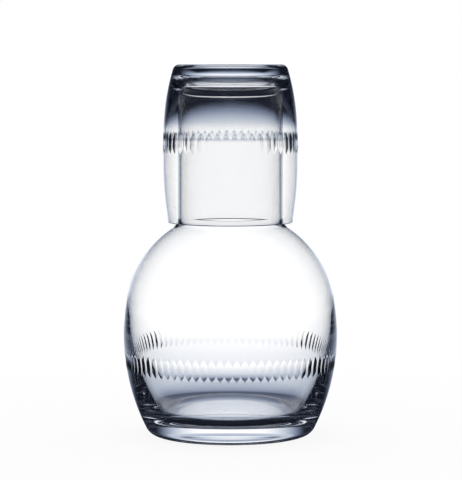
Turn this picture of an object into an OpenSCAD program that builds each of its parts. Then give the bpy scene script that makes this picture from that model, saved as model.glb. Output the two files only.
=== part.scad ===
// Bedside carafe with its drinking glass upside down over the neck.
// Both are clear blown glass with a band of V-shaped wheel cuts. Millimetres, +Z up, standing on z = 0.

/* [Carafe outside] */
// Diameter of the belly at its widest
belly_d = 110; // [98:1:122]
// Height of the widest place above the table
belly_z = 52; // [46:0.5:58]
// Radius of the arc of the side, above and below the widest place
flank_r = 106.7; // [90:0.1:130]
// Radius of the rounded edge between the side and the foot
heel_r = 7.3; // [4:0.1:12]
// Radius of the arc over the shoulder
shoulder_r = 52.3; // [46:0.1:58]
// Turn of the side's arc above the widest place, to where the shoulder's arc begins, in degrees
shoulder_turn = 12; // [6:0.5:18]
// Outside diameter of the neck
neck_d = 54; // [46:0.5:56]
// Radius of the hollow curve between the shoulder and the neck
neck_fillet_r = 4.9; // [3:0.1:8]
// Height of the lip above the table
carafe_h = 180; // [166:0.1:196]

/* [Carafe inside] */
// Thickness of the neck's wall
neck_wall = 1.6; // [1.2:0.1:2.4]
// Thickness of the wall over the shoulder
shoulder_wall = 1; // [0.8:0.1:1.6]
// Thickness of the solid base under the edge of the floor, where it is thinnest
base_t = 10.1; // [7:0.1:14]
// Rise of the floor from its edge to its middle
floor_dome = 1.2; // [0.6:0.1:2]
// Radius of the arc of the wall's inside, from the shoulder down to the floor
bowl_r = 98; // [90:1:110]
// Radius of the rounded corner between the inside wall and the floor
floor_corner_r = 13.6; // [10:0.1:18]

/* [Tumbler outside] */
// Height of the tumbler
tumbler_h = 81; // [74:0.5:90]
// Diameter at its widest
tumbler_d = 69.6; // [66:0.1:74]
// Height of the widest place above the tumbler's foot
tumbler_widest_z = 51.3; // [47:0.1:55]
// Radius of the arc of the side from the widest place to the rim
mouth_arc_r = 169; // [140:1:220]
// Radius of the flat arc of the side below the widest place
barrel_arc_r = 387; // [340:1:440]
// Height above the foot at which the side turns in towards the foot
barrel_turn_z = 29; // [26:0.1:34]
// Radius of the arc of the side near the foot
foot_arc_r = 117; // [100:1:140]
// Radius of the rounded edge of the foot
foot_edge_r = 3.5; // [2:0.1:6]

/* [Tumbler inside] */
// Thickness of the wall and of the rim
tumbler_wall = 1.15; // [1:0.05:1.6]
// Thickness of the solid foot under the edge of the floor, where it is thinnest
tumbler_foot_t = 6.6; // [5:0.1:9]
// Rise of the floor from its edge to its middle
tumbler_dome = 0.9; // [0.4:0.1:1.5]
// Height above the foot at which the inside leaves the outside and the wall grows thicker
tumbler_bowl_z = 33.6; // [30:0.1:36]
// Radius of the arc of the inside towards the floor
tumbler_bowl_r = 54.2; // [48:0.1:60]
// Radius of the rounded corner of the inside floor
tumbler_corner_r = 6.5; // [5:0.1:9]

/* [Cut bands] */
// Number of cuts round the carafe
carafe_cuts = 83; // [60:1:90]
// Height of the middle of the carafe's band above the table
carafe_band_z = 39.2; // [34:0.1:46]
// Number of cuts round the tumbler
tumbler_cuts = 50; // [36:1:56]
// Height of the middle of the tumbler's band above its foot
tumbler_band_z = 39.6; // [37:0.1:46]
// Length of a cut from tip to tip
cut_l = 11; // [8:0.1:13]
// Width of a cut at its middle, where neighbours run into each other
cut_w = 5; // [3.5:0.1:5.5]
// Depth of a cut at its middle
cut_depth = 0.6; // [0.4:0.05:0.7]

/* [Fit] */
// Gap between the carafe's lip and the inside of the tumbler that rests on it
seat_gap = 0.3; // [0.2:0.05:0.5]

/* [Hidden] */
$fn = 180;

// Carafe: middles of the tangent arcs, as [radius from the axis, height]
belly_r = belly_d / 2;
neck_r = neck_d / 2;
flank_c = [belly_r - flank_r, belly_z];
heel_c = [flank_c[0] + leg(flank_r - heel_r, belly_z - heel_r), heel_r];
shoulder_c = flank_c + (flank_r - shoulder_r) * ray(shoulder_turn);
fillet_x = neck_r + neck_fillet_r;
fillet_c = [fillet_x, shoulder_c[1] + leg(shoulder_r + neck_fillet_r, fillet_x - shoulder_c[0])];

// Carafe: heights at which one arc hands over to the next
heel_top = level_on(flank_c, flank_r, heel_c);
flank_top = belly_z + flank_r * sin(shoulder_turn);
shoulder_top = level_on(shoulder_c, shoulder_r, fillet_c);

// Carafe inside: the shoulder keeps its middle, the bowl hangs from its widest place
bore_r = neck_r - neck_wall;
inner_shoulder_r = shoulder_r - shoulder_wall;
inner_fillet_r = neck_fillet_r + neck_wall;
inner_fillet_c = [fillet_x, shoulder_c[1] + leg(inner_shoulder_r + inner_fillet_r, fillet_x - shoulder_c[0])];
inner_shoulder_top = level_on(shoulder_c, inner_shoulder_r, inner_fillet_c);
bowl_c = [shoulder_c[0] + inner_shoulder_r - bowl_r, shoulder_c[1]];
floor_corner_z = base_t + floor_corner_r;
floor_corner_c = [bowl_c[0] + leg(bowl_r - floor_corner_r, bowl_c[1] - floor_corner_z), floor_corner_z];
floor_corner_top = level_on(bowl_c, bowl_r, floor_corner_c);
floor_dome_r = dome_radius(floor_corner_c[0], floor_dome, floor_corner_r);
floor_dome_c = [0, base_t + floor_dome - floor_dome_r];
lip_r = neck_wall / 2;
lip_c = [neck_r - lip_r, carafe_h - lip_r];

// Tumbler, standing on its foot: middles of the arcs
tumbler_r = tumbler_d / 2;
mouth_c = [tumbler_r - mouth_arc_r, tumbler_widest_z];
barrel_c = [tumbler_r - barrel_arc_r, tumbler_widest_z];
barrel_turn = -asin((tumbler_widest_z - barrel_turn_z) / barrel_arc_r);
foot_arc_c = barrel_c + (barrel_arc_r - foot_arc_r) * ray(barrel_turn);
foot_edge_c = [foot_arc_c[0] + leg(foot_arc_r - foot_edge_r, foot_arc_c[1] - foot_edge_r), foot_edge_r];
foot_edge_top = level_on(foot_arc_c, foot_arc_r, foot_edge_c);
rim_r = tumbler_wall / 2;
rim_turn = asin((tumbler_h - rim_r - tumbler_widest_z) / (mouth_arc_r - rim_r));
rim_c = mouth_c + (mouth_arc_r - rim_r) * ray(rim_turn);
rim_trim = 2 * tumbler_wall;

// Tumbler inside
inner_barrel_r = barrel_arc_r - tumbler_wall;
tumbler_bowl_turn = -asin((tumbler_widest_z - tumbler_bowl_z) / inner_barrel_r);
tumbler_bowl_c = barrel_c + (inner_barrel_r - tumbler_bowl_r) * ray(tumbler_bowl_turn);
tumbler_corner_z = tumbler_foot_t + tumbler_corner_r;
tumbler_corner_c = [
    tumbler_bowl_c[0] + leg(tumbler_bowl_r - tumbler_corner_r, tumbler_bowl_c[1] - tumbler_corner_z),
    tumbler_corner_z
];
tumbler_corner_top = level_on(tumbler_bowl_c, tumbler_bowl_r, tumbler_corner_c);
tumbler_dome_r = dome_radius(tumbler_corner_c[0], tumbler_dome, tumbler_corner_r);
tumbler_dome_c = [0, tumbler_foot_t + tumbler_dome - tumbler_dome_r];

// Seat: the lip's round edge lies against the inside of the tumbler, on the bowl, its corner or its floor
seat_r = lip_r + seat_gap;
seat_on_bowl = tumbler_bowl_c[1] - leg(tumbler_bowl_r - seat_r, lip_c[0] - tumbler_bowl_c[0]);
seat_on_corner = tumbler_corner_z
    - leg(tumbler_corner_r - seat_r, max(lip_c[0] - tumbler_corner_c[0], 0));
seat_joint_z = level_on(tumbler_bowl_c, tumbler_bowl_r - seat_r, tumbler_corner_c);
seat_z = seat_on_bowl >= seat_joint_z ? seat_on_bowl : seat_on_corner;
tumbler_top = lip_c[1] + seat_z;

// Cutting wheel: how much of its rim is drawn beyond the cut's depth, and beyond its length
wheel_rim_share = 1.3;
wheel_sweep_share = 1.3;

// Direction at an angle up from level, as [outwards, up]
function ray(turn) = [cos(turn), sin(turn)];

// Other short side of a right triangle
function leg(long, short) = sqrt(long * long - short * short);

// Height of the point of a circle that lies in line with another point, seen from its middle
function level_on(c, r, p) = c[1] + r * (p[1] - c[1]) / norm(p - c);

// Radius of a dome that rises in the middle of a floor and runs out into its corner's arc
function dome_radius(edge_r, rise, corner_r) = (edge_r * edge_r + rise * rise) / (2 * rise) - corner_r;

// Area between the axis and the outer arc of a circle, between two heights
module inside_arc(c, r, low, high) {
    start = max(0, c[0]);
    intersection() {
        translate(c) circle(r);
        translate([start, low]) square([r, high - low]);
    }
    if (start > 0) translate([0, low]) square([start, high - low]);
}

// Area between the axis and the hollow arc that runs into a neck
module inside_fillet(c, r, low) {
    difference() {
        translate([0, low]) square([c[0], c[1] - low]);
        translate(c) circle(r);
    }
}

// Half section of the carafe's outside, up to the middle of the lip
module carafe_outside() {
    inside_arc(heel_c, heel_r, 0, heel_r);
    inside_arc(flank_c, flank_r, heel_top, flank_top);
    inside_arc(shoulder_c, shoulder_r, shoulder_c[1], fillet_c[1]);
    inside_fillet(fillet_c, neck_fillet_r, shoulder_top);
    square([neck_r, lip_c[1]]);
}

// Half section of the room inside the carafe
module carafe_inside() {
    difference() {
        inside_arc(floor_corner_c, floor_corner_r, base_t, floor_corner_z);
        translate(floor_dome_c) circle(floor_dome_r);
    }
    inside_arc(bowl_c, bowl_r, floor_corner_top, bowl_c[1]);
    inside_arc(shoulder_c, inner_shoulder_r, floor_corner_z, inner_fillet_c[1]);
    inside_fillet(inner_fillet_c, inner_fillet_r, inner_shoulder_top);
    translate([0, floor_corner_z]) square([bore_r, carafe_h - floor_corner_z]);
}

// Half section of the tumbler's outside, standing on its foot
module tumbler_outside() {
    inside_arc(foot_edge_c, foot_edge_r, 0, foot_edge_r);
    inside_arc(foot_arc_c, foot_arc_r, foot_edge_top, foot_arc_c[1]);
    inside_arc(barrel_c, barrel_arc_r, barrel_turn_z, tumbler_widest_z);
    inside_arc(mouth_c, mouth_arc_r, barrel_turn_z, tumbler_h);
}

// Half section of the room inside the tumbler
module tumbler_inside() {
    difference() {
        inside_arc(tumbler_corner_c, tumbler_corner_r, tumbler_foot_t, tumbler_corner_z);
        translate(tumbler_dome_c) circle(tumbler_dome_r);
    }
    inside_arc(tumbler_bowl_c, tumbler_bowl_r, tumbler_corner_top, tumbler_bowl_c[1]);
    inside_arc(barrel_c, inner_barrel_r, tumbler_bowl_z, tumbler_widest_z);
    inside_arc(mouth_c, mouth_arc_r - tumbler_wall, tumbler_bowl_z, tumbler_h);
}

// Area above the tumbler's wall, square to it, where the round rim begins
module above_rim() {
    along = rim_trim * ray(rim_turn);
    polygon([rim_c - along, rim_c + along, rim_c + [rim_trim, rim_trim], rim_c + [-rim_trim, rim_trim]]);
}

// The edge of a V-edged wheel where it enters the glass: +X is outwards, the cut runs along Z
module wheel_edge(side_r) {
    reach_r = cut_l * cut_l / (8 * cut_depth);
    wheel_r = 1 / (1 / reach_r - 1 / side_r);
    rim_h = cut_depth * wheel_rim_share;
    rim_w = cut_w / 2 * wheel_rim_share;
    sweep = 2 * asin(cut_l / 2 / wheel_r) * wheel_sweep_share;
    translate([wheel_r - cut_depth, 0, 0])
        rotate([90, 0, 0])
            rotate([0, 0, 180 - sweep / 2])
                rotate_extrude(angle = sweep)
                    polygon([[wheel_r, 0], [wheel_r - rim_h, rim_w], [wheel_r - rim_h, -rim_w]]);
}

// Band of cuts round a side arc with its middle at c, at height z
module cut_band(count, c, side_r, z) {
    tilt = asin((z - c[1]) / side_r);
    place = c + side_r * ray(tilt);
    for (i = [0 : count - 1])
        rotate([0, 0, 360 * i / count])
            translate([place[0], 0, place[1]])
                rotate([0, -tilt, 0]) wheel_edge(side_r);
}

module carafe() {
    color("lightsteelblue", 0.4)
        difference() {
            rotate_extrude() {
                difference() {
                    carafe_outside();
                    carafe_inside();
                }
                translate(lip_c) circle(lip_r);
            }
            cut_band(carafe_cuts, flank_c, flank_r, carafe_band_z);
        }
}

module tumbler() {
    color("aliceblue", 0.4)
        translate([0, 0, tumbler_top])
            mirror([0, 0, 1])
                difference() {
                    rotate_extrude() {
                        difference() {
                            tumbler_outside();
                            tumbler_inside();
                            above_rim();
                        }
                        translate(rim_c) circle(rim_r);
                    }
                    cut_band(tumbler_cuts, barrel_c, barrel_arc_r, tumbler_band_z);
                }
}

carafe();
tumbler();
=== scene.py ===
"""Bedside carafe covered by its upturned tumbler, both of clear blown glass with a band of wheel cuts."""

import math

import bpy
import numpy as np
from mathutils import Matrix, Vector


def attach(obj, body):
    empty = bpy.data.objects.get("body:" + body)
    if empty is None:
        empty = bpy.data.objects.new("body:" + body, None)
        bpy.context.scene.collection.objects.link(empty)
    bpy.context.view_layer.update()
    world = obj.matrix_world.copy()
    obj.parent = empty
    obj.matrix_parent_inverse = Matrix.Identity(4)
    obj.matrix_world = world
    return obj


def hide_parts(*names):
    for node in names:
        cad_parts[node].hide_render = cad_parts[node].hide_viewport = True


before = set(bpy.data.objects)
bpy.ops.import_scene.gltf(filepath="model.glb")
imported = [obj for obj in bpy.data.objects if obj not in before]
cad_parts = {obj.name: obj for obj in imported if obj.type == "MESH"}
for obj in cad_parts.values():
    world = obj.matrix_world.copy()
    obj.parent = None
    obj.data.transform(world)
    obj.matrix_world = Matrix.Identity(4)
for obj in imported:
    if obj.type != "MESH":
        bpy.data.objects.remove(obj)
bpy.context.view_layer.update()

# Carafe
# A round-bellied bottle of clear soda-lime glass, blown with a thick solid base and a straight neck.
# Its lip is melted round in a flame, and the band of lens-shaped cuts is ground in with a mitred wheel
# and polished again. It stands on its flat base, and nothing is fixed to it.

belly_d = 110.0  # millimetres, as all sizes of the two glasses
belly_z = 52.0
flank_r = 106.7
heel_r = 7.3
shoulder_r = 52.3
shoulder_turn = 12.0  # degrees
neck_d = 54.0
neck_fillet_r = 4.9
carafe_h = 180.0
neck_wall = 1.6
shoulder_wall = 1.0
base_t = 10.1
floor_dome = 1.2
bowl_r = 98.0
floor_corner_r = 13.6
carafe_cuts = 83
carafe_band_z = 39.2
cut_l = 11.0
cut_w = 5.0
cut_depth = 0.6

# Fineness of the skin.
band_rows = 23  # points along a cut
ease_share = 0.6  # of half a cut's length, past each tip, where the columns go back to even spacing
edge_least = 0.03  # share of the pitch between cuts, the nearest that a cut's edge comes to its valley
edge_most = 0.485  # and the furthest, just short of the ridge
least_ridge = 0.004  # depth from which a ridge between two cuts shows
beside_end = 0.04  # way of the extra points from the ends of a straight line


def toward(degrees):
    """One step at an angle in the plane of an outline: cosine outwards, sine upwards."""
    return np.array([math.cos(math.radians(degrees)), math.sin(math.radians(degrees))])


def other_leg(slant, leg):
    """Third side of a right triangle: root of the slant squared less the known leg squared."""
    return math.sqrt(slant * slant - leg * leg)


def bearing(step):
    """Angle of a step in degrees: arc tangent of its rise over its run."""
    return math.degrees(math.atan2(step[1], step[0]))


def arc(centre, radius, start, end, spacing):
    """Points of an arc: centre plus radius times cosine and sine, start to end, even steps in degrees."""
    count = max(2, int(abs(end - start) / spacing) + 2)
    turn = np.radians(np.linspace(start, end, count))
    return np.stack([centre[0] + radius * np.cos(turn), centre[1] + radius * np.sin(turn)], 1)


def line(start, end, count):
    """Points between two ends, which are left out: start plus even shares of the way to the end.

    One more point lies close beside each end, so that the round shading of the arcs there stops at once.
    """
    beside = beside_end / math.dist(start, end)
    share = np.concatenate([[beside], np.linspace(0, 1, count + 2)[1:-1], [1 - beside]])[:, None]
    return np.asarray(start) * (1 - share) + np.asarray(end) * share


def banded_arc(centre, radius, start, end, band_z, spacing):
    """Arc with a cut band on it, and each point's way up from the band's middle.

    Below and above the band the steps are even. In it they follow the cosine of an even turn, which
    crowds the points towards the tips of the cuts, and four even steps ease past each tip. The way is the
    angle from the middle times the radius.
    """
    middle = math.degrees(math.asin((band_z - centre[1]) / radius))
    half = math.degrees(cut_l / 2 / radius)
    rows = middle - half * np.cos(np.linspace(0, np.pi, band_rows))
    easing = half * (1 + ease_share * np.linspace(0.25, 1, 4))
    low, high = middle - easing[-1], middle + easing[-1]
    below = np.linspace(start, low, max(2, int((low - start) / spacing) + 1))[:-1]
    above = np.linspace(high, end, max(2, int((end - high) / spacing) + 1))[1:]
    degrees = np.concatenate([below, middle - easing[::-1], rows, middle + easing, above])
    turn = np.radians(degrees)
    points = np.stack([centre[0] + radius * np.cos(turn), centre[1] + radius * np.sin(turn)], 1)
    return points, np.radians(degrees - middle) * radius


def cut_glass(name, outline, way, cuts, turned_top=None):
    """Outline carried round the axis, with the wheel's cuts pressed into it, as one closed skin.

    Each cut has four columns: its valley, its edge, the ridge to the next cut, and that cut's edge. A cut's
    half width is half the full width times one less the square of twice the way over its length, and its
    depth falls evenly from the valley to the edge. The point is moved by the depth against the outline's
    normal. Past the tips the columns ease back to even spacing, and a point off the band has an endless
    way. A turned glass is turned over sideways: its front goes to the back, and its height counts down
    from turned_top.
    """
    rows, columns = len(outline), 4 * cuts
    pitch = 2 * np.pi / cuts
    pole_r = 1e-6  # least radius, so that nothing is divided by zero at the two poles
    radius = np.maximum(outline[:, 0], pole_r)
    tip = cut_l / 2
    lens = np.maximum(0, 1 - (way / tip) ** 2)
    past = np.clip((np.abs(way) - tip) / (ease_share * tip), 0, 1)
    edge = np.clip(cut_w / 2 * lens / radius, edge_least * pitch, edge_most * pitch)
    edge = edge + (pitch / 4 - edge) * past
    turn = np.stack([0 * edge, edge, 0 * edge + pitch / 2, pitch - edge], 1)
    aside = np.minimum(turn, pitch - turn) * radius[:, None]
    depth = np.maximum(0, cut_depth * (lens[:, None] - aside / (cut_w / 2)))
    depth = np.tile(depth, (1, cuts))
    turn = (turn[:, None, :] + pitch * np.arange(cuts)[None, :, None]).reshape(rows, columns)
    slope = np.gradient(outline, axis=0)
    normal = np.stack([slope[:, 1], -slope[:, 0]], 1) / np.linalg.norm(slope, axis=1)[:, None]
    out = outline[:, :1] - normal[:, :1] * depth
    up = outline[:, 1:] - normal[:, 1:] * depth
    points = np.stack([out * np.cos(turn), out * np.sin(turn), up], -1)
    if turned_top is not None:
        points = points * [1, -1, -1] + [0, 0, turned_top]
    skin = points[1:-1].reshape(-1, 3)
    vertices = np.vstack([points[0, :1], skin, points[-1, :1]]) / 1000

    here = np.arange(columns)
    after = np.roll(here, -1)
    row = 1 + columns * np.arange(rows - 3)[:, None]
    quads = np.stack([row + here, row + after, row + columns + after, row + columns + here], -1)
    last = 1 + columns * (rows - 3)
    first_fan = np.stack([0 * here, 1 + after, 1 + here], -1)
    last_fan = np.stack([0 * here + len(vertices) - 1, last + here, last + after], -1)
    mesh = bpy.data.meshes.new(name)
    faces = quads.reshape(-1, 4).tolist() + first_fan.tolist() + last_fan.tolist()
    mesh.from_pydata(vertices.tolist(), [], faces)
    mesh.shade_smooth()

    # The valleys and edges of the cuts stay crisp, and so do the ridges where neighbouring cuts meet.
    ends = np.empty(2 * len(mesh.edges), int)
    mesh.edges.foreach_get("vertices", ends)
    ends = ends.reshape(-1, 2)
    on_skin = (ends > 0).all(1) & (ends <= rows * columns - 2 * columns).all(1)
    column = (ends - 1) % columns
    in_row = 1 + (ends - 1) // columns
    in_band = np.abs(way) <= tip * (1 + 1e-6)
    deep = np.concatenate([[0], depth[1:-1].reshape(-1), [0]])
    upright = on_skin & (column[:, 0] == column[:, 1]) & in_band[np.clip(in_row, 0, rows - 1)].all(1)
    ridge_cut = deep[ends].max(1) > least_ridge
    mesh.edges.foreach_set("use_edge_sharp", upright & ((column[:, 0] % 4 != 2) | ridge_cut))

    # Share of the full cut depth at each point, for the polish of the cuts.
    ground = mesh.attributes.new("ground", "FLOAT", "POINT")
    ground.data.foreach_set("value", np.clip(deep / cut_depth, 0, 1))
    piece = bpy.data.objects.new(name, mesh)
    bpy.context.collection.objects.link(piece)
    return piece


# Outside of the carafe, from the middle of its base up to the lip: heel, flank, shoulder, fillet and neck.
flank_c = np.array([belly_d / 2 - flank_r, belly_z])
heel_c = np.array([flank_c[0] + other_leg(flank_r - heel_r, belly_z - heel_r), heel_r])
heel_end = bearing(heel_c - flank_c)
shoulder_c = flank_c + (flank_r - shoulder_r) * toward(shoulder_turn)
fillet_x = neck_d / 2 + neck_fillet_r
fillet_z = shoulder_c[1] + other_leg(shoulder_r + neck_fillet_r, fillet_x - shoulder_c[0])
fillet_c = np.array([fillet_x, fillet_z])
shoulder_end = bearing(fillet_c - shoulder_c)
lip_c = np.array([(neck_d - neck_wall) / 2, carafe_h - neck_wall / 2])
flank, flank_way = banded_arc(flank_c, flank_r, heel_end, shoulder_turn, carafe_band_z, spacing=1.2)
base_and_heel = np.vstack([
    [[0, 0]],
    line([0, 0], [heel_c[0], 0], count=3),
    arc(heel_c, heel_r, -90, heel_end, spacing=2.5)[:-1],
])
shoulder_and_lip = np.vstack([
    arc(shoulder_c, shoulder_r, shoulder_turn, shoulder_end, spacing=2)[1:],
    arc(fillet_c, neck_fillet_r, shoulder_end + 180, 180, spacing=3)[1:],
    line([neck_d / 2, fillet_c[1]], [neck_d / 2, lip_c[1]], count=4),
    arc(lip_c, neck_wall / 2, 0, 180, spacing=9),
])

# Inside of the carafe, from the lip down: neck, shoulder, bowl, floor corner and domed floor.
inner_shoulder_r = shoulder_r - shoulder_wall
inner_fillet_r = neck_fillet_r + neck_wall
inner_fillet_z = shoulder_c[1] + other_leg(inner_shoulder_r + inner_fillet_r, fillet_x - shoulder_c[0])
inner_fillet_c = np.array([fillet_x, inner_fillet_z])
inner_shoulder_end = bearing(inner_fillet_c - shoulder_c)
bowl_c = np.array([shoulder_c[0] + inner_shoulder_r - bowl_r, shoulder_c[1]])
corner_z = base_t + floor_corner_r
corner_c = np.array([bowl_c[0] + other_leg(bowl_r - floor_corner_r, bowl_c[1] - corner_z), corner_z])
bowl_end = bearing(corner_c - bowl_c)
dome_r = (corner_c[0] ** 2 + floor_dome ** 2) / (2 * floor_dome) - floor_corner_r
dome_c = np.array([0, base_t + floor_dome - dome_r])
dome_start = bearing(corner_c - dome_c)
bore = neck_d / 2 - neck_wall
carafe_inside = np.vstack([
    line([bore, lip_c[1]], [bore, inner_fillet_c[1]], count=4),
    arc(inner_fillet_c, inner_fillet_r, 180, 180 + inner_shoulder_end, spacing=3),
    arc(shoulder_c, inner_shoulder_r, inner_shoulder_end, 0, spacing=2)[1:],
    arc(bowl_c, bowl_r, 0, bowl_end, spacing=1.2)[1:],
    arc(corner_c, floor_corner_r, bowl_end, dome_start - 180, spacing=1.5)[1:],
    arc(dome_c, dome_r, dome_start, 90, spacing=0.4)[1:],
])
carafe_outline = np.vstack([base_and_heel, flank, shoulder_and_lip, carafe_inside])
carafe_way = np.full(len(carafe_outline), np.inf)
carafe_way[len(base_and_heel):len(base_and_heel) + len(flank)] = flank_way
carafe = cut_glass("carafe_blown", carafe_outline, carafe_way, carafe_cuts)


def linear(hex_colour):
    """sRGB hex to linear light: a 12.92th of a dark share, else the 2.4th power of the eased share."""
    share = np.array([int(hex_colour[i:i + 2], 16) for i in (1, 3, 5)]) / 255
    light = np.where(share <= 0.04045, share / 12.92, ((share + 0.055) / 1.055) ** 2.4)
    return (*light.tolist(), 1.0)


def add(tree, kind, inputs=None, **settings):
    """Adds one node: settings are its own switches, and each input is a value or another node's output."""
    made = tree.nodes.new(kind)
    for name, value in settings.items():
        setattr(made, name, value)
    for name, value in (inputs or {}).items():
        if isinstance(value, bpy.types.NodeSocket):
            tree.links.new(value, made.inputs[name])
        else:
            made.inputs[name].default_value = value
    return made


glass_tint = "#FFFFFF"
glass_ior = 1.5
ripple_height = 0.008  # millimetres
ripple_stretch = 3  # the wall was stretched upwards as it was blown
cut_haze = 0.03  # roughness that the grinding left in the polished cuts
haze_share = 0.3  # of the full cut depth, from which a cut has all its haze


def blown_glass(name, ripple_w):
    """Clear glass, fire-polished, with the slow ripple of blown glass and finely ground, polished cuts.

    The ripple's noise repeats about once in ripple_w millimetres across and three times that upwards.
    """
    glass = bpy.data.materials.new(name)
    glass.use_nodes = True
    tree = glass.node_tree
    tree.nodes.clear()
    place = add(tree, "ShaderNodeTexCoord")
    stretched = add(tree, "ShaderNodeMapping", {
        "Vector": place.outputs["Object"],
        "Scale": (1, 1, 1 / ripple_stretch),
    })
    ripple = add(tree, "ShaderNodeTexNoise", {
        "Vector": stretched.outputs["Vector"],
        "Scale": 1000 / ripple_w,
        "Detail": 1.0,
    })
    wavy = add(tree, "ShaderNodeBump", {
        "Strength": 1.0,
        "Distance": ripple_height / 1000,
        "Height": ripple.outputs["Fac"],
    })
    # A polished cut keeps a faint haze of the grinding, and the flame-polished skin has none.
    ground = add(tree, "ShaderNodeAttribute", attribute_name="ground")
    haze = add(tree, "ShaderNodeMapRange", {
        "Value": ground.outputs["Fac"],
        "From Max": haze_share,
        "To Min": 0.0,
        "To Max": cut_haze,
    })
    skin = add(tree, "ShaderNodeBsdfPrincipled", {
        "Base Color": linear(glass_tint),
        "Roughness": haze.outputs["Result"],
        "IOR": glass_ior,
        "Transmission Weight": 1.0,
        "Normal": wavy.outputs["Normal"],
    })
    add(tree, "ShaderNodeOutputMaterial", {"Surface": skin.outputs["BSDF"]})
    return glass


# Soda-lime glass, blown and fire-polished: clear, with no colour of its own and the faintest ripple.
carafe.data.materials.append(blown_glass("Blown soda-lime glass, carafe", ripple_w=14))
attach(carafe, "carafe")
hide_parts("carafe")

# Tumbler
# A barrel-shaped drinking glass of the same clear glass, with a thick solid foot and the same cuts.
# It is blown thinner than the carafe. It stands upside down over the neck, where the inside of its foot
# rests loosely on the carafe's lip.

tumbler_h = 81.0
tumbler_d = 69.6
tumbler_widest_z = 51.3
mouth_arc_r = 169.0
barrel_arc_r = 387.0
barrel_turn_z = 29.0
foot_arc_r = 117.0
foot_edge_r = 3.5
tumbler_wall = 1.15
tumbler_foot_t = 6.6
tumbler_dome = 0.9
tumbler_bowl_z = 33.6
tumbler_bowl_r = 54.2
tumbler_corner_r = 6.5
tumbler_cuts = 50
tumbler_band_z = 39.6
seat_gap = 0.3

# Outside of the tumbler as it stands on its foot: foot edge, foot arc, barrel with the band, mouth and rim.
mouth_c = np.array([tumbler_d / 2 - mouth_arc_r, tumbler_widest_z])
barrel_c = np.array([tumbler_d / 2 - barrel_arc_r, tumbler_widest_z])
barrel_start = -math.degrees(math.asin((tumbler_widest_z - barrel_turn_z) / barrel_arc_r))
foot_arc_c = barrel_c + (barrel_arc_r - foot_arc_r) * toward(barrel_start)
foot_edge_x = foot_arc_c[0] + other_leg(foot_arc_r - foot_edge_r, foot_arc_c[1] - foot_edge_r)
foot_edge_c = np.array([foot_edge_x, foot_edge_r])
foot_edge_end = bearing(foot_edge_c - foot_arc_c)
rim_r = tumbler_wall / 2
rim_turn = math.degrees(math.asin((tumbler_h - rim_r - tumbler_widest_z) / (mouth_arc_r - rim_r)))
rim_c = mouth_c + (mouth_arc_r - rim_r) * toward(rim_turn)
barrel, barrel_way = banded_arc(barrel_c, barrel_arc_r, barrel_start, 0, tumbler_band_z, spacing=0.3)
foot_side = np.vstack([
    [[0, 0]],
    line([0, 0], [foot_edge_c[0], 0], count=3),
    arc(foot_edge_c, foot_edge_r, -90, foot_edge_end, spacing=2)[:-1],
    arc(foot_arc_c, foot_arc_r, foot_edge_end, barrel_start, spacing=0.4)[:-1],
])
mouth_and_rim = np.vstack([
    arc(mouth_c, mouth_arc_r, 0, rim_turn, spacing=0.8)[1:-1],
    arc(rim_c, rim_r, rim_turn, rim_turn + 180, spacing=12),
])

# Inside of the tumbler, from the rim to the middle of its floor: mouth, barrel, bowl, corner, domed floor.
inner_barrel_r = barrel_arc_r - tumbler_wall
bowl_start = -math.degrees(math.asin((tumbler_widest_z - tumbler_bowl_z) / inner_barrel_r))
tumbler_bowl_c = barrel_c + (inner_barrel_r - tumbler_bowl_r) * toward(bowl_start)
tumbler_corner_z = tumbler_foot_t + tumbler_corner_r
corner_reach = other_leg(tumbler_bowl_r - tumbler_corner_r, tumbler_bowl_c[1] - tumbler_corner_z)
tumbler_corner_c = np.array([tumbler_bowl_c[0] + corner_reach, tumbler_corner_z])
tumbler_bowl_end = bearing(tumbler_corner_c - tumbler_bowl_c)
tumbler_dome_r = (tumbler_corner_c[0] ** 2 + tumbler_dome ** 2) / (2 * tumbler_dome) - tumbler_corner_r
tumbler_dome_c = np.array([0, tumbler_foot_t + tumbler_dome - tumbler_dome_r])
tumbler_dome_start = bearing(tumbler_corner_c - tumbler_dome_c)
tumbler_inside = np.vstack([
    arc(mouth_c, mouth_arc_r - tumbler_wall, rim_turn, 0, spacing=0.8)[1:],
    arc(barrel_c, inner_barrel_r, 0, bowl_start, spacing=0.3)[1:],
    arc(tumbler_bowl_c, tumbler_bowl_r, bowl_start, tumbler_bowl_end, spacing=0.5)[1:],
    arc(tumbler_corner_c, tumbler_corner_r, tumbler_bowl_end, tumbler_dome_start - 180, spacing=1)[1:],
    arc(tumbler_dome_c, tumbler_dome_r, tumbler_dome_start, 90, spacing=0.3)[1:],
])
tumbler_outline = np.vstack([foot_side, barrel, mouth_and_rim, tumbler_inside])
tumbler_way = np.full(len(tumbler_outline), np.inf)
tumbler_way[len(foot_side):len(foot_side) + len(barrel)] = barrel_way

# The lip comes up to the curved inside just above the floor, short of it by the seat gap. That sets how high
# the turned tumbler stands.
seat_r = neck_wall / 2 + seat_gap
seat_on_bowl = tumbler_bowl_c[1] - other_leg(tumbler_bowl_r - seat_r, lip_c[0] - tumbler_bowl_c[0])
tumbler_top = lip_c[1] + seat_on_bowl
tumbler = cut_glass("tumbler_blown", tumbler_outline, tumbler_way, tumbler_cuts, tumbler_top)

# The same glass in a thinner wall, which ripples a little more finely.
tumbler.data.materials.append(blown_glass("Blown soda-lime glass, tumbler", ripple_w=11))
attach(tumbler, "tumbler")
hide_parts("tumbler")

# Table
# A plain white table top that the carafe stands on. The camera sees it white, with the soft shadow of the
# glass. The glass sees painted light and shade on it instead, as in a studio lit from behind: a pale disc of
# painted light under the carafe's floor, a dark ring of painted shadow under its thick heel, and from there
# painted shade that grows paler with the distance.

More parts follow.
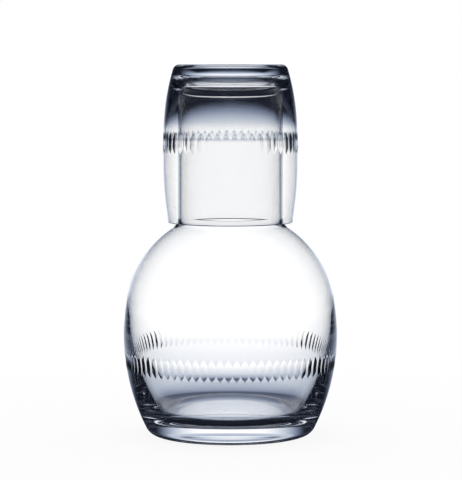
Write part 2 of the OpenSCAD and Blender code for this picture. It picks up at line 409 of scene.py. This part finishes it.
table_r = 0.55  # metres, as all sizes of the stage
table_gap = 0.0003
ring_columns = 96
# Painted light and shade on the table that only the glass sees: a pale disc of painted light, a dark ring of
# painted shadow, painted shade that grows paler with distance, and a painted back light behind.
disc_inner_r = 0.016
disc_outer_r = 0.037
painted_disc_light = 0.42
painted_ring_shade = 0.09
heel_shade_r = 0.048
open_r = 0.240
open_power = 0.35
table_back_level = 0.55
table_back_from = 15  # degrees to either side of straight behind
table_back_to = 70
shadow_share = 0.07
shadow_near_r = 0.05
shadow_far_r = 0.35
laminate_white = "#F6F7F8"
dark_tone = "#11141D"
slate_tone = "#6C768C"
slate_at = 0.18
pale_tone = "#AAB3C3"
pale_at = 0.45
white_tone = "#FFFFFF"
# Strength of the painted glow that the glass sees on the table and on the screens.
glass_level = 1.3  # light behind the glass, which makes up for what its faces turn away
half_bounce = 0.5  # fewer bounces than this means none


def ring_sheet(name, radii, heights):
    """Sheet round the axis: each row is a circle of its radius at its height."""
    turn = np.linspace(0, 2 * np.pi, ring_columns, endpoint=False)
    radii, heights = np.asarray(radii)[:, None], np.asarray(heights)[:, None]
    points = np.stack([radii * np.cos(turn), radii * np.sin(turn), heights + 0 * turn], -1)
    here = np.arange(ring_columns)
    after = np.roll(here, -1)
    row = ring_columns * np.arange(len(radii) - 1)[:, None]
    quads = np.stack([row + here, row + after, row + ring_columns + after, row + ring_columns + here], -1)
    mesh = bpy.data.meshes.new(name)
    mesh.from_pydata(points.reshape(-1, 3).tolist(), [], quads.reshape(-1, 4).tolist())
    sheet = bpy.data.objects.new(name, mesh)
    bpy.context.collection.objects.link(sheet)
    return sheet


def studio_tones(tree, level):
    """Ramp of painted light from the dark of the studio through slate to white, the light that clear glass
    shows.
    """
    ramp = add(tree, "ShaderNodeValToRGB", {"Fac": level})
    ramp.color_ramp.elements[0].color = linear(dark_tone)
    ramp.color_ramp.elements.new(slate_at).color = linear(slate_tone)
    ramp.color_ramp.elements.new(pale_at).color = linear(pale_tone)
    ramp.color_ramp.elements[-1].color = linear(white_tone)
    return ramp.outputs["Color"]


table = ring_sheet("table_top", [table_r, 0], [-table_gap, -table_gap])
white = bpy.data.materials.new("White laminate, painted light in glass")
white.use_nodes = True
tree = white.node_tree
tree.nodes.clear()
place = add(tree, "ShaderNodeTexCoord")
parts = add(tree, "ShaderNodeSeparateXYZ", {0: place.outputs["Object"]})
path = add(tree, "ShaderNodeLightPath")

# What the glass shows, all painted: the pale disc of painted light and the dark ring of painted shadow by
# their distance from the axis, then painted shade that grows paler over the open table.
far = add(tree, "ShaderNodeVectorMath", {0: place.outputs["Object"]}, operation="LENGTH")
disc = add(tree, "ShaderNodeMapRange", {
    "Value": far.outputs["Value"],
    "From Min": disc_inner_r,
    "From Max": disc_outer_r,
    "To Min": painted_disc_light,
    "To Max": painted_ring_shade,
}, interpolation_type="SMOOTHSTEP")
clear = add(tree, "ShaderNodeMapRange", {
    "Value": far.outputs["Value"],
    "From Min": heel_shade_r,
    "From Max": open_r,
})
paler = add(tree, "ShaderNodeMath", {0: clear.outputs["Result"], 1: open_power}, operation="POWER")
pale = add(tree, "ShaderNodeMath", {0: disc.outputs["Result"], 1: paler.outputs[0]}, operation="MAXIMUM")

# Light that went straight through the glass sees all of that painted light and shade, from any side. Light
# that was turned back inside the glass, which is a glossy bounce, sees only the table behind, painted as lit
# from behind and dimmer.
aside = add(tree, "ShaderNodeMath", {0: parts.outputs["X"], 1: parts.outputs["Y"]}, operation="ARCTAN2")
turned = add(tree, "ShaderNodeMath", {0: aside.outputs[0]}, operation="ABSOLUTE")
behind = add(tree, "ShaderNodeMapRange", {
    "Value": turned.outputs[0],
    "From Min": math.radians(table_back_from),
    "From Max": math.radians(table_back_to),
    "To Min": table_back_level,
    "To Max": 0.0,
}, interpolation_type="SMOOTHSTEP")
straight = add(tree, "ShaderNodeMath", {
    0: path.outputs["Glossy Depth"],
    1: half_bounce,
}, operation="LESS_THAN")
open_way = add(tree, "ShaderNodeMath", {
    0: behind.outputs["Result"],
    1: straight.outputs[0],
}, operation="MAXIMUM")
level = add(tree, "ShaderNodeMath", {0: pale.outputs[0], 1: open_way.outputs[0]}, operation="MULTIPLY")
# A glow of painted light and shade, which only glossy and transmission rays see.
painted_in_glass = add(tree, "ShaderNodeEmission", {
    "Color": studio_tones(tree, level.outputs[0]),
    "Strength": glass_level,
})

# What the camera shows: white, with a share of the lamp's light and shadow that fades out with distance.
lit = add(tree, "ShaderNodeBsdfDiffuse", {"Color": linear(laminate_white)})
glow = add(tree, "ShaderNodeEmission", {"Color": linear(white_tone), "Strength": 1.0})
fading = add(tree, "ShaderNodeMapRange", {
    "Value": far.outputs["Value"],
    "From Min": shadow_near_r,
    "From Max": shadow_far_r,
    "To Min": 1 - shadow_share,
    "To Max": 1.0,
}, interpolation_type="SMOOTHSTEP")
seen = add(tree, "ShaderNodeMath", {
    0: path.outputs["Is Camera Ray"],
    1: fading.outputs["Result"],
}, operation="MULTIPLY")
plain = add(tree, "ShaderNodeMixShader", {0: seen.outputs[0], 1: lit.outputs[0], 2: glow.outputs[0]})
by_glass = add(tree, "ShaderNodeMath", {
    0: path.outputs["Is Glossy Ray"],
    1: path.outputs["Is Transmission Ray"],
}, operation="MAXIMUM")
both = add(tree, "ShaderNodeMixShader", {
    0: by_glass.outputs[0],
    1: plain.outputs[0],
    2: painted_in_glass.outputs[0],
})
add(tree, "ShaderNodeOutputMaterial", {"Surface": both.outputs[0]})
table.data.materials.append(white)

# Screens
# Eight screens in a ring round the table, each glowing with a painted soft spot of light that fades upwards
# and sideways; no lamp lights them. They show only in the glass, and give it a pale middle and dark edges.
# Light that was turned back inside the glass meets only the painted spot on the screen behind, and a dim
# painted fill high up in front.

screen_r = 0.55
screen_top = 0.6
screen_half = 22.5  # degrees from the middle of a screen to its side
# The painted spot of light on each screen, and the painted fill above it.
spot_low_z = 0.130
spot_top_z = 0.295
spot_bend = 1.5  # fall of the spot's top for each square metre of the way to the side
spot_dimming = 0.4  # share lost for each metre of height
screen_back_level = 0.92
screen_back_from = 6  # degrees to either side of straight behind
screen_back_to = 47
fill_level = 0.3
fill_from = 100
fill_to = 165
fill_low_z = 0.36
fill_high_z = 0.42

screens = ring_sheet("screens", [screen_r, screen_r], [screen_top, -table_gap])
screen_glow = bpy.data.materials.new("Screen glow, painted spots of light")
screen_glow.use_nodes = True
tree = screen_glow.node_tree
tree.nodes.clear()
place = add(tree, "ShaderNodeTexCoord")
parts = add(tree, "ShaderNodeSeparateXYZ", {0: place.outputs["Object"]})
path = add(tree, "ShaderNodeLightPath")
aside = add(tree, "ShaderNodeMath", {0: parts.outputs["X"], 1: parts.outputs["Y"]}, operation="ARCTAN2")
turned = add(tree, "ShaderNodeMath", {0: aside.outputs[0]}, operation="ABSOLUTE")

# The painted spot of light on each screen: its top falls with the square of the way from the screen's
# middle.
off_middle = add(tree, "ShaderNodeMath", {
    0: turned.outputs[0],
    1: math.radians(screen_half),
}, operation="PINGPONG")
off_square = add(tree, "ShaderNodeMath", {
    0: off_middle.outputs[0],
    1: off_middle.outputs[0],
}, operation="MULTIPLY")
lit_top = add(tree, "ShaderNodeMath", {
    0: off_square.outputs[0],
    1: -spot_bend * screen_r ** 2,
    2: spot_top_z,
}, operation="MULTIPLY_ADD")
rise = add(tree, "ShaderNodeMapRange", {
    "Value": parts.outputs["Z"],
    "From Min": spot_low_z,
    "From Max": lit_top.outputs[0],
    "To Min": 1.0,
    "To Max": 0.0,
}, interpolation_type="SMOOTHSTEP")
slow = add(tree, "ShaderNodeMath", {
    0: parts.outputs["Z"],
    1: -spot_dimming,
    2: 1.0,
}, operation="MULTIPLY_ADD")
spot = add(tree, "ShaderNodeMath", {0: rise.outputs["Result"], 1: slow.outputs[0]}, operation="MULTIPLY")

# Light that went straight through sees every painted spot, and light that was turned back only the one
# behind.
behind = add(tree, "ShaderNodeMapRange", {
    "Value": turned.outputs[0],
    "From Min": math.radians(screen_back_from),
    "From Max": math.radians(screen_back_to),
    "To Min": screen_back_level,
    "To Max": 0.0,
}, interpolation_type="SMOOTHSTEP")
straight = add(tree, "ShaderNodeMath", {
    0: path.outputs["Glossy Depth"],
    1: half_bounce,
}, operation="LESS_THAN")
open_way = add(tree, "ShaderNodeMath", {
    0: behind.outputs["Result"],
    1: straight.outputs[0],
}, operation="MAXIMUM")
back = add(tree, "ShaderNodeMath", {0: spot.outputs[0], 1: open_way.outputs[0]}, operation="MULTIPLY")

# The painted fill light: above the spots, and only in front.
before = add(tree, "ShaderNodeMapRange", {
    "Value": turned.outputs[0],
    "From Min": math.radians(fill_from),
    "From Max": math.radians(fill_to),
}, interpolation_type="SMOOTHSTEP")
high = add(tree, "ShaderNodeMapRange", {
    "Value": parts.outputs["Z"],
    "From Min": fill_low_z,
    "From Max": fill_high_z,
    "To Min": 0.0,
    "To Max": fill_level,
}, interpolation_type="SMOOTHSTEP")
front = add(tree, "ShaderNodeMath", {
    0: before.outputs["Result"],
    1: high.outputs["Result"],
}, operation="MULTIPLY")
level = add(tree, "ShaderNodeMath", {0: back.outputs[0], 1: front.outputs[0]}, operation="MAXIMUM")
glow = add(tree, "ShaderNodeEmission", {
    "Color": studio_tones(tree, level.outputs[0]),
    "Strength": glass_level,
})
add(tree, "ShaderNodeOutputMaterial", {"Surface": glow.outputs[0]})
screens.data.materials.append(screen_glow)
screens.visible_camera = False
screens.visible_diffuse = False

# Light
# One broad soft lamp hangs above the table, out of sight of the glass, and the room round it is dark with a
# dim ceiling. The camera sees a plain white background everywhere.

lamp_d = 1.1
lamp_level = 3.2  # radiance, which lights the white table to about its own colour
ceiling_from = 45  # degrees above level
ceiling_to = 75
ceiling_level = 0.15

lamp = bpy.data.lights.new("soft_lamp", "AREA")
lamp.shape = "DISK"
lamp.size = lamp_d
lamp.energy = lamp_level * math.pi * math.pi * (lamp_d / 2) ** 2
lamp_piece = bpy.data.objects.new("soft_lamp", lamp)
lamp_piece.location = (0, 0.1, 1.0)
lamp_piece.visible_camera = False
lamp_piece.visible_glossy = False
lamp_piece.visible_transmission = False
bpy.context.collection.objects.link(lamp_piece)

room = bpy.data.worlds.new("studio")
bpy.context.scene.world = room
room.use_nodes = True
tree = room.node_tree
tree.nodes.clear()
place = add(tree, "ShaderNodeTexCoord")
parts = add(tree, "ShaderNodeSeparateXYZ", {0: place.outputs["Generated"]})
path = add(tree, "ShaderNodeLightPath")
ceiling = add(tree, "ShaderNodeMapRange", {
    "Value": parts.outputs["Z"],
    "From Min": math.sin(math.radians(ceiling_from)),
    "From Max": math.sin(math.radians(ceiling_to)),
    "To Min": 0.0,
    "To Max": ceiling_level,
})
level = add(tree, "ShaderNodeMath", {
    0: ceiling.outputs["Result"],
    1: path.outputs["Is Camera Ray"],
}, operation="MAXIMUM")
sky = add(tree, "ShaderNodeBackground", {"Color": studio_tones(tree, level.outputs[0]), "Strength": 1.0})
add(tree, "ShaderNodeOutputWorld", {"Surface": sky.outputs[0]})

# Camera
# It stands a little over a metre in front, just above the tumbler's foot, and looks slightly down.

frame_width = 462  # pixels
focal_pixels = 2384
camera_place = Vector((0, -1.224, 0.1935))
aim = Vector((0.0003, 0, 0.1006))

camera = bpy.data.cameras.new("camera")
camera.sensor_fit = "HORIZONTAL"
camera.sensor_width = 36.0
camera.lens = camera.sensor_width * focal_pixels / frame_width
camera_piece = bpy.data.objects.new("camera", camera)
camera_piece.location = camera_place
camera_piece.rotation_euler = (aim - camera_place).to_track_quat("-Z", "Y").to_euler()
bpy.context.collection.objects.link(camera_piece)
scene = bpy.context.scene
scene.camera = camera_piece
scene.view_settings.view_transform = "Standard"
# Light crosses up to eight glass faces and is turned back inside the thick bases, so it needs more bounces.
scene.cycles.max_bounces = 24
scene.cycles.transmission_bounces = 24
scene.cycles.glossy_bounces = 16
